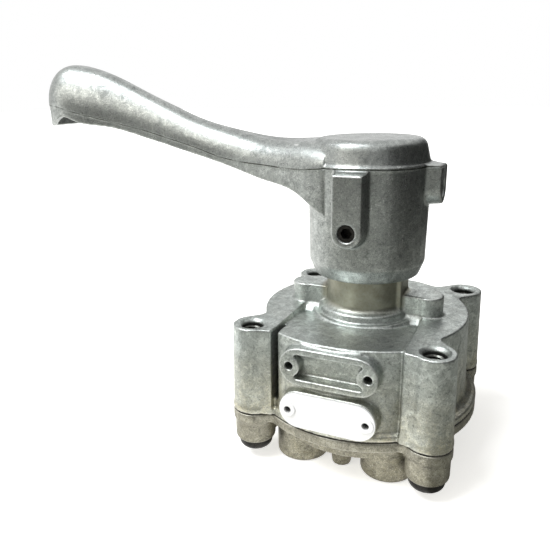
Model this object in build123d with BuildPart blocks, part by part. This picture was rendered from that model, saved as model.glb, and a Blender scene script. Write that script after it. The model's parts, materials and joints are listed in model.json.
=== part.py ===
from build123d import *
from math import cos, radians, sin, sqrt
import os

# Hand lever valve for raising and lowering an air-sprung vehicle, in millimetres.
# Z runs up along the lever shaft, X points right along the front face and Y away from it.
# The origin is the centre of the four mounting holes, on the flat tops of the corner columns.

# Corner columns and mounting holes
bolt_spacing = 74.0
column_radius = 8.0
column_foot_radius = 9.0
mount_hole_radius = 4.25
mount_hole_depth = 15.0
drill_point_slope = 0.6

# Upper housing
housing_height = 37.6
rim_inset = 8.6
flange_inset = 3.0
front_inset = 4.9
wall_draft = 1.2
front_draft = 0.4
block_inset = 10.4
block_recess = 3.1
block_sink = 0.5
outline_blend = 4.5
flange_lobe_radius = 9.2
flange_blend = 3.5
housing_flange_thickness = 2.9
cove_width = 2.4
cove_height = 2.6
deck_drop = 3.2
groove_width = 2.9
groove_back = 12.0
groove_floor_height = 6.6
groove_edge = 0.6
flange_edge_fillet = 0.8

# Neck and bridge
neck_radius = 16.7
neck_top = 24.0
neck_collar_radius = 19.4
neck_collar_height = 1.6
neck_bead_radius = 22.2
neck_bead_height = -1.1
neck_step = 1.2
bridge_overhang = 0.6
bridge_radius = 6.3
bridge_wall_half = 5.5
bridge_height = 8.7
neck_rib_reach = 17.2
neck_rib_width = 14.0
neck_rib_top = 20.0
bridge_root = 5.0
bridge_ramp = 3.4

# Front pads
pad_rise = 2.3
pad_depth = 8.0
pad_margin = 6.3
pad_height = 15.6
pad_hole_inset = 4.0
lower_pad_height = 9.7
pad_pitch = 18.1
pocket_inset = 6.0
pocket_height = 10.3
pocket_depth = 5.0
pad_slope_rise = 0.6
pocket_corner = 0.8
pad_lobe_radius = 4.4
pad_hole_radius = 1.7
pad_hole_depth = 9.0
plate_thickness = 0.8
plate_inset = 0.8
rivet_shank_radius = 1.95
rivet_bore_radius = 1.45
rivet_head_radius = 3.1
rivet_head_height = 0.6
rivet_length = 6.0

# Base cover
gasket_thickness = 0.5
gasket_inset = 0.3
cover_draft = 4.0
foot_web_width = 9.0
foot_web_step = 3.0
cover_flange_thickness = 4.2
cover_body_inset = 8.3
cover_body_depth = 13.2
foot_radius = 8.6
foot_height = 14.4
foot_edge_fillet = 1.8
boss_radius = 11.3
boss_drop = 23.0
boss_edge_fillet = 1.2
boss_circle_inset = 17.1
boss_count = 5
port_radius = 7.25
port_depth = 14.0
port_chamfer = 1.1
nub_radius = 4.0
nub_taper = 6.0
nub_inset = 19.7
nub_drop = 22.6
gallery_radius = 1.9
gallery_inner_radius = 13.5
exhaust_boss_radius = 12.2
exhaust_radius = 8.5
exhaust_depth = 14.0
exhaust_throat_radius = 3.5
silencer_thickness = 3.0
silencer_ring_width = 1.6
silencer_ring_height = 1.0
silencer_ring_gap = 5.0
silencer_ring_groove = 0.8
ring_groove_drop = 3.0

# Cover screws
screw_head_radius = 7.2
screw_head_height = 4.4
screw_radius = 3.9
screw_length = 30.0
screw_hole_clearance = 0.8
screw_tap_depth = 16.0
screw_socket_width = 5.0
screw_socket_depth = 2.6

# Valve chamber, port plate and slide
chamber_radius = 24.0
chamber_ceiling = -8.0
port_plate_inset = 2.5
port_plate_thickness = 5.5
port_plate_recess = 3.0
port_plate_hole_radius = 2.3
fit_clearance = 0.05
dowel_radius = 1.5
dowel_inset = 2.9
dowel_length = 7.0
seal_radius = 4.0
seal_wire_radius = 0.9
slide_inset = 5.0
slide_thickness = 5.0
slide_pocket_radius = 8.0
kidney_radius = 2.6
kidney_depth = 2.0
kidney_arc = 72.0

# Shaft and what turns with it
shaft_radius = 6.0
shaft_top = 60.0
shaft_collar_radius = 8.0
shaft_collar_thickness = 3.0
shaft_stem_radius = 5.4
shaft_flat_width = 7.6
shaft_end_rise = 3.6
bush_radius = 9.0
bush_length = 19.0
bearing_clearance = 0.05
wiper_height = 4.0
wiper_lip = 1.4
thrust_bore_radius = 10.5
thrust_washer_thickness = 1.0
hub_radius = 12.0
hub_bore_radius = 8.6
hub_floor_rise = 10.6
hub_floor_thickness = 4.0
dog_width = 5.0
dog_play = 0.4
dog_slot_depth = 2.0
hub_flange_radius = 16.4
hub_flange_thickness = 1.9
index_plate_inset = 3.0
index_plate_thickness = 2.5
index_plate_gap = 2.6
index_hole_shift = 0.5
index_hole_radius = 1.8
index_hole_count = 8
detent_nose_radius = 1.5
detent_leaf_thickness = 0.6
pressure_coil_radius = 14.4
pressure_wire_radius = 0.9
pressure_turns = 3
return_coil_radius = 7.0
return_wire_radius = 0.65
return_turns = 4

# Lever cap
cap_bottom = 17.0
cap_bottom_radius = 22.2
cap_bevel_height = 5.6
cap_lower_radius = 24.3
cap_parting = 62.3
cap_parting_radius = 25.0
cap_lip = 0.3
cap_lip_height = 0.6
cap_dome_radius = 24.4
cap_crown_radius = 22.2
cap_top = 72.8
cap_shoulder_radius = 4.2
cap_wall = 3.2
cap_ceiling = 67.0
lever_hub_radius = 10.5
lever_hub_bottom = 30.0
clamp_boss_radius = 6.0
clamp_boss_face = 30.4
clamp_boss_taper = 8.0
boss_spread = 1.2
front_clamp_height = 39.1
side_clamp_height = 53.3
side_boss_rise = 1.4
set_screw_radius = 3.4
set_screw_length = 23.5
set_screw_socket = 4.0
set_screw_socket_depth = 4.0

# Lever arm: distance along the arm, half width, half width of the crown, top, parting line and lower edge
arm_wall = 2.8
arm_lip = 0.3
arm_mouth = 30.0
arm_stations = [
    (12.0, 22.2, 15.0, 71.6, 61.5, 44.0),
    (19.0, 20.4, 12.5, 71.5, 61.2, 47.4),
    (26.0, 18.2, 9.0, 71.4, 61.0, 51.6),
    (41.0, 13.8, 4.0, 71.5, 61.5, 55.0),
    (58.0, 10.2, 1.4, 74.3, 62.6, 59.2),
    (80.0, 8.6, 0.6, 79.8, 68.1, 64.8),
    (92.0, 8.5, 0.6, 84.5, 71.2, 67.9),
    (105.0, 8.6, 0.6, 89.9, 74.5, 71.2),
    (127.0, 10.6, 0.6, 99.4, 79.3, 76.2),
    (143.0, 13.0, 0.8, 103.9, 83.0, 78.8),
    (149.4, 13.4, 1.0, 104.5, 84.8, 80.6),
    (154.0, 12.8, 1.0, 103.6, 85.6, 78.6),
    (158.4, 10.8, 1.0, 100.8, 86.0, 76.2),
    (161.6, 7.4, 0.8, 95.4, 86.4, 80.0),
]

corner = bolt_spacing / 2
corner_places = [(x, y) for x in (-corner, corner) for y in (-corner, corner)]
corner_distance = corner * sqrt(2)
rim_radius = corner_distance - rim_inset
flange_radius = corner_distance - flange_inset
front_radius = corner_distance - front_inset
pad_face = front_radius + pad_rise
block_edge = corner - block_inset
plateau_half_gap = block_edge - groove_edge
bridge_half_length = block_edge + bridge_overhang
pad_length = 2 * (plateau_half_gap - pad_margin)
pad_hole_spacing = pad_length - 2 * pad_hole_inset
pocket_length = pad_length - 2 * pocket_inset
lower_pad_drop = housing_height - lower_pad_height
upper_pad_drop = lower_pad_drop - pad_pitch
boss_circle_radius = flange_radius - boss_circle_inset
from_base = (Align.CENTER, Align.CENTER, Align.MIN)
gasket_top = -housing_height
cover_top = gasket_top - gasket_thickness
boss_angles = [-90 + 360 / boss_count * (k + 0.5) for k in range(boss_count)]
boss_bottom = cover_top - boss_drop
foot_bottom = cover_top - foot_height
seat_floor = cover_top - port_plate_recess
seat_top = seat_floor + port_plate_thickness
slide_top = seat_top + slide_thickness
port_plate_radius = chamber_radius - port_plate_inset
dowel_circle_radius = port_plate_radius - dowel_inset
slide_radius = chamber_radius - slide_inset
index_plate_radius = chamber_radius - index_plate_inset
index_hole_circle = (hub_radius + index_plate_radius) / 2 + index_hole_shift
shaft_bottom = slide_top + shaft_end_rise
hub_floor_top = slide_top + hub_floor_rise
dowel_angles = (-90, 54)

os.makedirs("parts", exist_ok=True)


def keep(piece, name):
    piece.part.label = name
    export_step(piece.part, f"parts/{name}.step")


def on_circle(radius, angle):
    return (radius * cos(radians(angle)), radius * sin(radians(angle)))


def from_axis(vertex):
    return sqrt(vertex.X**2 + vertex.Y**2)


def casting_outline(height, round_radius, lobe_radius, blend, front=None):
    # A round body with four corner lobes on the diagonals, blended where they meet.
    with BuildSketch(Plane.XY.offset(height)) as outline:
        Circle(round_radius)
        for turn in (45, -45):
            SlotCenterToCenter(2 * corner_distance, 2 * lobe_radius, rotation=turn)
        inner = [v for v in outline.vertices() if from_axis(v) < corner_distance - 1]
        fillet(inner, blend)
        if front:
            # The front wall bulges between two blocks that run from a sharp edge to their columns.
            with BuildSketch(mode=Mode.PRIVATE) as front_wall:
                Circle(front)
                with Locations((0, -front / 2 - lobe_radius)):
                    Rectangle(2 * block_edge, front, mode=Mode.INTERSECT)
            add(front_wall.sketch)
            column_front = -corner - lobe_radius
            for side in (-1, 1):
                with BuildLine():
                    Polyline(
                        (side * block_edge, -corner + lobe_radius),
                        (side * block_edge, column_front + block_recess),
                        (side * corner, column_front + block_sink),
                        (side * corner, -corner),
                        close=True,
                    )
                make_face()
    return outline.sketch


# The upper housing is one casting: drafted walls that follow the rim and the four columns,
# a thin flange at the gasket, the neck and its bridge, and two pads on the front.
with BuildPart() as upper_housing:
    add(casting_outline(gasket_top, flange_radius, flange_lobe_radius, flange_blend))
    extrude(amount=housing_flange_thickness)
    flange_top = upper_housing.faces().sort_by(Axis.Z)[-1]
    fillet(flange_top.edges(), flange_edge_fillet)
    add(casting_outline(gasket_top, rim_radius + wall_draft, column_foot_radius, outline_blend,
                        front_radius + front_draft))
    add(casting_outline(0, rim_radius, column_radius, outline_blend, front_radius))
    loft(ruled=True)
    with Locations((0, 0, gasket_top + housing_flange_thickness)):
        Cone(rim_radius + wall_draft + cove_width, rim_radius, cove_height, align=from_base)
    # The deck between the plateaus falls from the front edge towards the neck.
    with BuildSketch(Plane.YZ) as deck:
        with BuildLine():
            Polyline(
                (-front_radius, 0),
                (-bridge_radius, -deck_drop),
                (-bridge_radius, deck_drop),
                (-flange_radius, deck_drop),
                (-flange_radius, 0),
                close=True,
            )
        make_face()
    extrude(amount=plateau_half_gap, both=True, mode=Mode.SUBTRACT)
    # A groove parts the left plateau from the front box and closes towards the bridge.
    groove_floor = groove_floor_height - housing_height
    with BuildSketch(Plane.XY.offset(groove_floor)) as groove:
        with BuildLine():
            Polyline(
                (-plateau_half_gap - groove_edge, -flange_radius),
                (-plateau_half_gap - groove_edge + groove_width, -flange_radius),
                (-plateau_half_gap - groove_edge + groove_width, -front_radius + groove_edge),
                (-plateau_half_gap, -groove_back),
                close=True,
            )
        make_face()
    extrude(amount=deck_drop - groove_floor, mode=Mode.SUBTRACT)
    # The bridge is a wall between two round pillars that stand on the plateaus.
    with BuildSketch(Plane.XY.offset(-bridge_root)) as bridge:
        Rectangle(2 * bridge_half_length, 2 * bridge_wall_half)
        with Locations((-bridge_half_length, 0), (bridge_half_length, 0)):
            Circle(bridge_radius)
    extrude(amount=bridge_root + bridge_height)
    for side in (-1, 1):
        ramp_middle = side * (plateau_half_gap + neck_collar_radius) / 2
        with BuildSketch(Plane.YZ.offset(ramp_middle)) as ramp:
            with BuildLine():
                Polyline(
                    (-bridge_wall_half, bridge_ramp - deck_drop),
                    (-bridge_wall_half - bridge_ramp, -deck_drop),
                    (-bridge_wall_half, -bridge_root),
                    close=True,
                )
            make_face()
        extrude(amount=(plateau_half_gap - neck_collar_radius) / 2, both=True)
    # The neck rises from a stepped collar and a bead.
    with BuildSketch(Plane.XZ) as neck:
        with BuildLine():
            Polyline(
                (0, -bridge_root),
                (neck_bead_radius + neck_step, -bridge_root),
                (neck_bead_radius, neck_bead_height),
                (neck_bead_radius - neck_step, neck_bead_height),
                (neck_collar_radius + neck_step / 2, neck_bead_height - neck_step / 2),
                (neck_collar_radius, neck_collar_height),
                (neck_radius + neck_step / 2, neck_collar_height + neck_step),
                (neck_radius, neck_collar_height + 2 * neck_step),
                (neck_radius, neck_top),
                (0, neck_top),
                close=True,
            )
        make_face()
    revolve(axis=Axis.Z)
    # A broad rib stiffens the neck on the right.
    with BuildSketch(Plane.XY) as neck_rib:
        with Locations((neck_rib_reach, 0)):
            Rectangle(2 * neck_step, neck_rib_width, align=(Align.MAX, Align.CENTER))
    extrude(amount=neck_rib_top)
    # Both pads stand out of the round front wall; the upper one is a frame round a pocket.
    for drop in (upper_pad_drop, lower_pad_drop):
        with BuildSketch(Plane.XZ.offset(pad_face)) as pad:
            with Locations((0, -drop)):
                SlotOverall(pad_length, pad_height)
        extrude(amount=-pad_depth)
    with BuildSketch(Plane.YZ) as pad_slope:
        with BuildLine():
            Polyline(
                (-front_radius + pad_depth / 2, -pad_slope_rise),
                (-pad_face, pad_height / 2 - upper_pad_drop),
                (-pad_face, -upper_pad_drop),
                (-front_radius + pad_depth / 2, -upper_pad_drop),
                close=True,
            )
        make_face()
    extrude(amount=(pad_length - pad_height) / 2, both=True)
    with BuildSketch(Plane.XZ.offset(pad_face)) as pocket:
        with Locations((0, -upper_pad_drop)):
            RectangleRounded(pocket_length, pocket_height, pocket_corner)
            with Locations((-pad_hole_spacing / 2, 0), (pad_hole_spacing / 2, 0)):
                Circle(pad_lobe_radius, mode=Mode.SUBTRACT)
    extrude(amount=-pocket_depth, mode=Mode.SUBTRACT)
    for drop, radius in ((upper_pad_drop, pad_hole_radius), (lower_pad_drop, rivet_shank_radius)):
        with BuildSketch(Plane.XZ.offset(pad_face)):
            with Locations((0, -drop)):
                with GridLocations(pad_hole_spacing, 0, 2, 1):
                    Circle(radius)
        extrude(amount=-pad_hole_depth, mode=Mode.SUBTRACT)
        with Locations(*[Plane(origin=(x, pad_hole_depth - pad_face, -drop), z_dir=(0, 1, 0))
                         for x in (-pad_hole_spacing / 2, pad_hole_spacing / 2)]):
            Cone(radius, 0, drill_point_slope * radius, align=from_base, mode=Mode.SUBTRACT)
    # Mounting holes in the column tops, screw holes from below and the valve chamber.
    with Locations(*[(x, y, 0) for x, y in corner_places]):
        Hole(mount_hole_radius, mount_hole_depth)
    with Locations(*[Plane(origin=(x, y, -mount_hole_depth), z_dir=(0, 0, -1)) for x, y in corner_places]):
        Cone(mount_hole_radius, 0, drill_point_slope * mount_hole_radius, align=from_base, mode=Mode.SUBTRACT)
    with Locations(*[Plane(origin=(x, y, gasket_top), z_dir=(0, 0, -1)) for x, y in corner_places]):
        Hole(screw_radius + fit_clearance, screw_tap_depth)
    with Locations(*[(x, y, gasket_top + screw_tap_depth) for x, y in corner_places]):
        Cone(screw_radius, 0, drill_point_slope * screw_radius, align=from_base, mode=Mode.SUBTRACT)
    with BuildSketch(Plane.XZ) as hollow:
        with BuildLine():
            Polyline(
                (0, gasket_top),
                (chamber_radius, gasket_top),
                (chamber_radius, chamber_ceiling),
                (thrust_bore_radius, chamber_ceiling),
                (thrust_bore_radius, 0),
                (bush_radius, 0),
                (bush_radius, neck_top),
                (0, neck_top),
                close=True,
            )
        make_face()
    revolve(axis=Axis.Z, mode=Mode.SUBTRACT)
keep(upper_housing, "upper_housing")

# The gasket follows the flange and clears the chamber and the four screws.
with BuildPart() as cover_gasket:
    gasket_lobe_radius = flange_lobe_radius - gasket_inset
    add(casting_outline(cover_top, flange_radius - gasket_inset, gasket_lobe_radius, flange_blend))
    extrude(amount=gasket_thickness)
    with BuildSketch(Plane.XY.offset(cover_top)):
        Circle(chamber_radius)
        with Locations(*corner_places):
            Circle(screw_radius + screw_hole_clearance)
    extrude(amount=gasket_thickness, mode=Mode.SUBTRACT)
keep(cover_gasket, "cover_gasket")

# The base cover carries the ports in round bosses and a foot under each column.
with BuildPart() as base_cover:
    add(casting_outline(cover_top - cover_flange_thickness, flange_radius, flange_lobe_radius, flange_blend))
    extrude(amount=cover_flange_thickness)
    with BuildSketch(Plane.XY.offset(cover_top)):
        Circle(flange_radius - cover_body_inset)
    extrude(amount=-cover_body_depth, taper=cover_draft)
    with BuildSketch(Plane.XY.offset(cover_top)):
        for turn in (45, -45):
            Rectangle(2 * corner_distance, foot_web_width, rotation=turn)
    extrude(amount=-cover_body_depth + foot_web_step)
    with BuildSketch(Plane.XY.offset(foot_bottom)):
        with Locations(*corner_places):
            Circle(foot_radius)
    extrude(amount=foot_height)
    fillet(base_cover.edges().group_by(Axis.Z)[0], foot_edge_fillet)
    with BuildSketch(Plane.XY.offset(boss_bottom)):
        with Locations(*[on_circle(boss_circle_radius, angle) for angle in boss_angles]):
            Circle(boss_radius)
    extrude(amount=boss_drop)
    with BuildSketch(Plane.XY.offset(boss_bottom)):
        Circle(exhaust_boss_radius)
    extrude(amount=boss_drop)
    fillet(base_cover.edges().group_by(Axis.Z)[0], boss_edge_fillet)
    with BuildSketch(Plane.XY.offset(cover_top)):
        with Locations((0, nub_inset - flange_radius)):
            Circle(nub_radius + nub_drop * sin(radians(nub_taper)))
    extrude(amount=-nub_drop, taper=nub_taper)
    # Threaded ports, with a gallery from each one to its hole under the port plate.
    with Locations(*[Plane(origin=(*on_circle(boss_circle_radius, angle), boss_bottom), z_dir=(0, 0, -1))
                     for angle in boss_angles]):
        CounterSinkHole(port_radius, port_radius + port_chamfer, port_depth, 90)
    port_roof = boss_bottom + port_depth
    with Locations(*[(*on_circle(boss_circle_radius, angle), port_roof) for angle in boss_angles]):
        Cone(port_radius, 0, drill_point_slope * port_radius, align=from_base, mode=Mode.SUBTRACT)
    with BuildSketch(Plane.XY.offset(seat_floor)):
        Circle(port_plate_radius + fit_clearance)
    extrude(amount=port_plate_recess, mode=Mode.SUBTRACT)
    with BuildSketch(Plane.XY.offset(seat_floor)):
        with Locations(*[on_circle(gallery_inner_radius, angle) for angle in boss_angles]):
            Circle(seal_radius + seal_wire_radius + fit_clearance)
        Circle(seal_radius + seal_wire_radius + fit_clearance)
    extrude(amount=-2 * seal_wire_radius - fit_clearance, mode=Mode.SUBTRACT)
    for angle in boss_angles:
        start = (*on_circle(gallery_inner_radius, angle), seat_floor - 2 * seal_wire_radius)
        end = (*on_circle(boss_circle_radius - port_radius / 2, angle), port_roof - gallery_radius)
        reach = Vector(*end) - Vector(*start)
        with BuildSketch(Plane(origin=start, z_dir=reach)):
            Circle(gallery_radius)
        extrude(amount=reach.length, mode=Mode.SUBTRACT)
    # The exhaust leaves through the middle boss, past the silencer.
    with Locations(Plane(origin=(0, 0, boss_bottom), z_dir=(0, 0, -1))):
        Hole(exhaust_radius, exhaust_depth)
    with BuildSketch(Plane.XY.offset(boss_bottom + ring_groove_drop)):
        Circle(exhaust_radius + silencer_ring_groove)
    extrude(amount=-silencer_ring_height - fit_clearance, mode=Mode.SUBTRACT)
    with BuildSketch(Plane.XY.offset(seat_floor)):
        Circle(exhaust_throat_radius)
    extrude(amount=-(seat_floor - boss_bottom), mode=Mode.SUBTRACT)
    with Locations(*[Plane(origin=(x, y, foot_bottom), z_dir=(0, 0, -1)) for x, y in corner_places]):
        Hole(screw_radius + screw_hole_clearance, foot_height)
    with Locations(*[(*on_circle(dowel_circle_radius, angle), seat_floor) for angle in dowel_angles]):
        Hole(dowel_radius + fit_clearance, dowel_length - port_plate_thickness / 2)
keep(base_cover, "base_cover")

# Each cover screw comes up through a foot into its column.
with BuildPart() as cover_screws:
    with BuildSketch(Plane.XY.offset(foot_bottom)):
        with Locations(*corner_places):
            Circle(screw_head_radius)
    extrude(amount=-screw_head_height)
    fillet(cover_screws.faces().sort_by(Axis.Z)[:4].edges(), screw_head_height * 0.7)
    with BuildSketch(Plane.XY.offset(foot_bottom)):
        with Locations(*corner_places):
            Circle(screw_radius)
    extrude(amount=screw_length)
    with BuildSketch(Plane.XY.offset(foot_bottom - screw_head_height)):
        with Locations(*corner_places):
            RegularPolygon(screw_socket_width / sqrt(3), 6)
    extrude(amount=screw_socket_depth, mode=Mode.SUBTRACT)
keep(cover_screws, "cover_screws")

# The name plate is a bare stadium on the lower pad, held by two hollow rivets.
plate_plane = Plane.XZ.offset(pad_face)
with BuildPart() as name_plate:
    with BuildSketch(plate_plane):
        with Locations((0, -lower_pad_drop)):
            SlotOverall(pad_length - plate_inset, pad_height - plate_inset)
            with Locations((-pad_hole_spacing / 2, 0), (pad_hole_spacing / 2, 0)):
                Circle(rivet_shank_radius, mode=Mode.SUBTRACT)
    extrude(amount=plate_thickness)
keep(name_plate, "name_plate")

with BuildPart() as plate_rivets:
    with BuildSketch(plate_plane.offset(plate_thickness)):
        with Locations((-pad_hole_spacing / 2, -lower_pad_drop), (pad_hole_spacing / 2, -lower_pad_drop)):
            Circle(rivet_head_radius)
    extrude(amount=rivet_head_height)
    fillet(plate_rivets.faces().sort_by(Axis.Y)[:2].edges(), rivet_head_height / 2)
    with BuildSketch(plate_plane.offset(plate_thickness)):
        with Locations((-pad_hole_spacing / 2, -lower_pad_drop), (pad_hole_spacing / 2, -lower_pad_drop)):
            Circle(rivet_shank_radius - fit_clearance)
    extrude(amount=-rivet_length)
    with BuildSketch(plate_plane.offset(plate_thickness + rivet_head_height)):
        with Locations((-pad_hole_spacing / 2, -lower_pad_drop), (pad_hole_spacing / 2, -lower_pad_drop)):
            Circle(rivet_bore_radius)
    extrude(amount=-rivet_length, mode=Mode.SUBTRACT)
keep(plate_rivets, "plate_rivets")

# The shaft runs in a bush in the neck, under a wiper ring and above a thrust washer.
with BuildPart() as neck_bush:
    Cylinder(bush_radius, bush_length, align=from_base)
    Hole(shaft_radius + bearing_clearance)
keep(neck_bush, "neck_bush")

with BuildPart() as shaft_wiper:
    with BuildSketch(Plane.XZ):
        with BuildLine():
            Polyline(
                (shaft_radius + bearing_clearance, neck_top - wiper_height),
                (bush_radius, neck_top - wiper_height),
                (bush_radius, neck_top),
                (shaft_radius + 2 * wiper_lip, neck_top),
                (shaft_radius + wiper_lip, neck_top + wiper_lip),
                (shaft_radius + bearing_clearance, neck_top + wiper_lip),
                close=True,
            )
        make_face()
    revolve(axis=Axis.Z)
keep(shaft_wiper, "shaft_wiper")

with BuildPart() as thrust_washer:
    with BuildSketch(Plane.XY):
        Circle(thrust_bore_radius - fit_clearance)
        Circle(shaft_radius + bearing_clearance, mode=Mode.SUBTRACT)
    extrude(amount=-thrust_washer_thickness)
keep(thrust_washer, "thrust_washer")

collar_top = -thrust_washer_thickness
collar_bottom = collar_top - shaft_collar_thickness
with BuildPart() as control_shaft:
    with BuildSketch(Plane.XZ):
        with BuildLine():
            Polyline(
                (0, shaft_bottom),
                (shaft_stem_radius, shaft_bottom),
                (shaft_stem_radius, collar_bottom),
                (shaft_collar_radius, collar_bottom),
                (shaft_collar_radius, collar_top),
                (shaft_radius, collar_top),
                (shaft_radius, shaft_top),
                (0, shaft_top),
                close=True,
            )
        make_face()
    revolve(axis=Axis.Z)
    chamfer(control_shaft.edges().sort_by(Axis.Z)[-1], shaft_radius / 6)
    with BuildSketch(Plane.XY.offset(shaft_bottom)) as flats:
        Circle(shaft_stem_radius)
        Rectangle(2 * shaft_stem_radius, shaft_flat_width, mode=Mode.SUBTRACT)
    extrude(amount=collar_bottom - shaft_bottom, mode=Mode.SUBTRACT)
keep(control_shaft, "control_shaft")

# The hub turns with the shaft and lets it slide; its two dogs drive the valve slide.
index_plate_top = chamber_ceiling - index_plate_gap
index_plate_bottom = index_plate_top - index_plate_thickness
hub_floor_bottom = hub_floor_top - hub_floor_thickness
with BuildPart() as drive_hub:
    with BuildSketch(Plane.XY.offset(hub_floor_bottom)):
        Circle(hub_radius)
    extrude(amount=index_plate_top - hub_floor_bottom)
    with BuildSketch(Plane.XY.offset(index_plate_bottom)):
        Circle(hub_flange_radius)
    extrude(amount=-hub_flange_thickness)
    with BuildSketch(Plane.XY.offset(hub_floor_top)):
        Circle(hub_bore_radius)
    extrude(amount=index_plate_top - hub_floor_top, mode=Mode.SUBTRACT)
    with BuildSketch(Plane.XY.offset(hub_floor_bottom)):
        Circle(shaft_stem_radius + bearing_clearance)
        Rectangle(2 * hub_radius, shaft_flat_width + 2 * bearing_clearance, mode=Mode.INTERSECT)
    extrude(amount=hub_floor_thickness, mode=Mode.SUBTRACT)
    with BuildSketch(Plane.XY.offset(hub_floor_bottom)):
        Circle(hub_radius)
        Circle(hub_bore_radius, mode=Mode.SUBTRACT)
        Rectangle(2 * hub_radius, dog_width, mode=Mode.INTERSECT)
    extrude(amount=slide_top - dog_slot_depth + dog_play - hub_floor_bottom)
keep(drive_hub, "drive_hub")

with BuildPart() as index_plate:
    with BuildSketch(Plane.XY.offset(index_plate_bottom)):
        Circle(index_plate_radius)
        Circle(hub_radius, mode=Mode.SUBTRACT)
        with PolarLocations(index_hole_circle, index_hole_count):
            Circle(index_hole_radius, mode=Mode.SUBTRACT)
    extrude(amount=index_plate_thickness)
keep(index_plate, "index_plate")

# The detent leaf is a ring under the chamber roof with two noses that drop into the index holes.
with BuildPart() as detent_leaf:
    with BuildSketch(Plane.XY.offset(chamber_ceiling)):
        Circle(index_plate_radius)
        Circle(hub_radius, mode=Mode.SUBTRACT)
    extrude(amount=-detent_leaf_thickness)
    nose_middle = chamber_ceiling - index_plate_gap
    with BuildSketch(Plane.XY.offset(nose_middle)):
        with Locations((-index_hole_circle, 0), (index_hole_circle, 0)):
            Circle(detent_nose_radius)
    extrude(amount=index_plate_gap)
    with Locations((-index_hole_circle, 0, nose_middle), (index_hole_circle, 0, nose_middle)):
        Sphere(detent_nose_radius)
keep(detent_leaf, "detent_leaf")

with BuildPart() as valve_slide:
    with BuildSketch(Plane.XY.offset(seat_top)):
        Circle(slide_radius)
    extrude(amount=slide_thickness)
    with BuildSketch(Plane.XY.offset(slide_top)):
        Circle(slide_pocket_radius)
        Rectangle(2 * hub_radius + 4 * fit_clearance, dog_width + 4 * fit_clearance)
    extrude(amount=-dog_slot_depth, mode=Mode.SUBTRACT)
    with BuildSketch(Plane.XY.offset(seat_top)):
        for start in (-90 - kidney_arc / 2, 90 - kidney_arc / 2):
            SlotArc(CenterArc((0, 0), gallery_inner_radius, start, kidney_arc), 2 * kidney_radius)
        Circle(exhaust_throat_radius)
    extrude(amount=kidney_depth, mode=Mode.SUBTRACT)
keep(valve_slide, "valve_slide")


def coil(low, high, coil_radius, wire_radius, turns):
    # A compression spring whose end turns rest on both seats.
    rise = high - low - 2 * wire_radius
    with BuildPart(mode=Mode.PRIVATE) as spring:
        with BuildLine(Plane.XY.offset(low + wire_radius)) as path:
            Helix(rise / turns, rise, coil_radius)
        with BuildSketch(Plane(origin=path.line @ 0, z_dir=path.line % 0)):
            Circle(wire_radius)
        sweep(is_frenet=True)
    return spring


pressure_spring = coil(slide_top, index_plate_bottom - hub_flange_thickness,
                       pressure_coil_radius, pressure_wire_radius, pressure_turns)
keep(pressure_spring, "pressure_spring")

return_spring = coil(hub_floor_top, collar_bottom, return_coil_radius, return_wire_radius, return_turns)
keep(return_spring, "return_spring")

# The port plate is the lapped seat that the slide turns on.
with BuildPart() as port_plate:
    with BuildSketch(Plane.XY.offset(seat_floor)):
        Circle(port_plate_radius)
        with Locations(*[on_circle(gallery_inner_radius, angle) for angle in boss_angles]):
            Circle(port_plate_hole_radius, mode=Mode.SUBTRACT)
        Circle(exhaust_throat_radius, mode=Mode.SUBTRACT)
    extrude(amount=port_plate_thickness)
    with BuildSketch(Plane.XY.offset(seat_floor)):
        with Locations(*[on_circle(dowel_circle_radius, angle) for angle in dowel_angles]):
            Circle(dowel_radius + fit_clearance)
    extrude(amount=port_plate_thickness / 2, mode=Mode.SUBTRACT)
keep(port_plate, "port_plate")

with BuildPart() as plate_dowels:
    with BuildSketch(Plane.XY.offset(seat_floor + port_plate_thickness / 2)):
        with Locations(*[on_circle(dowel_circle_radius, angle) for angle in dowel_angles]):
            Circle(dowel_radius)
    extrude(amount=-dowel_length)
keep(plate_dowels, "plate_dowels")

with BuildPart() as port_seals:
    seal_places = [on_circle(gallery_inner_radius, angle) for angle in boss_angles] + [(0, 0)]
    with Locations(*[(x, y, seat_floor - seal_wire_radius) for x, y in seal_places]):
        Torus(seal_radius, seal_wire_radius)
keep(port_seals, "port_seals")

with BuildPart() as silencer_disc:
    with BuildSketch(Plane.XY.offset(boss_bottom + ring_groove_drop)):
        Circle(exhaust_radius - fit_clearance)
    extrude(amount=silencer_thickness)
keep(silencer_disc, "silencer_disc")

with BuildPart() as silencer_ring:
    with BuildSketch(Plane.XY.offset(boss_bottom + ring_groove_drop)):
        Circle(exhaust_radius + silencer_ring_groove - fit_clearance)
        Circle(exhaust_radius + silencer_ring_groove - silencer_ring_width, mode=Mode.SUBTRACT)
        with Locations((0, -exhaust_radius)):
            Rectangle(silencer_ring_gap, exhaust_radius, mode=Mode.SUBTRACT)
    extrude(amount=-silencer_ring_height)
keep(silencer_ring, "silencer_ring")


def arm_section(station, wall=0.0, lip=0.0):
    # An upright section of the arm: straight sides, a round-shouldered top and a lip at the parting.
    # With a wall it is the hollow inside, which opens below once it is clear of the cap.
    reach, half_width, crown, top, parting, lower = station
    if wall:
        lower += wall if reach < arm_mouth else -2 * wall
    side = half_width - wall
    crown = min(crown, side / 2)
    spread = side + lip - crown
    rise = top - wall - parting
    flank = [(side, lower), (side, parting)]
    if lip:
        flank.append((side + lip, parting))
    with BuildSketch(Plane(origin=(-reach, 0, 0), x_dir=(0, 1, 0), z_dir=(1, 0, 0))) as section:
        with BuildLine():
            Polyline(*flank)
            EllipticalCenterArc((crown, parting), spread, rise, arc_size=90)
            Line((crown, top - wall), (-crown, top - wall))
            EllipticalCenterArc((-crown, parting), spread, rise, start_angle=90, arc_size=90)
            Polyline(*[(-y, z) for y, z in reversed(flank)], flank[0])
        make_face()
    return section.sketch


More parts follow.
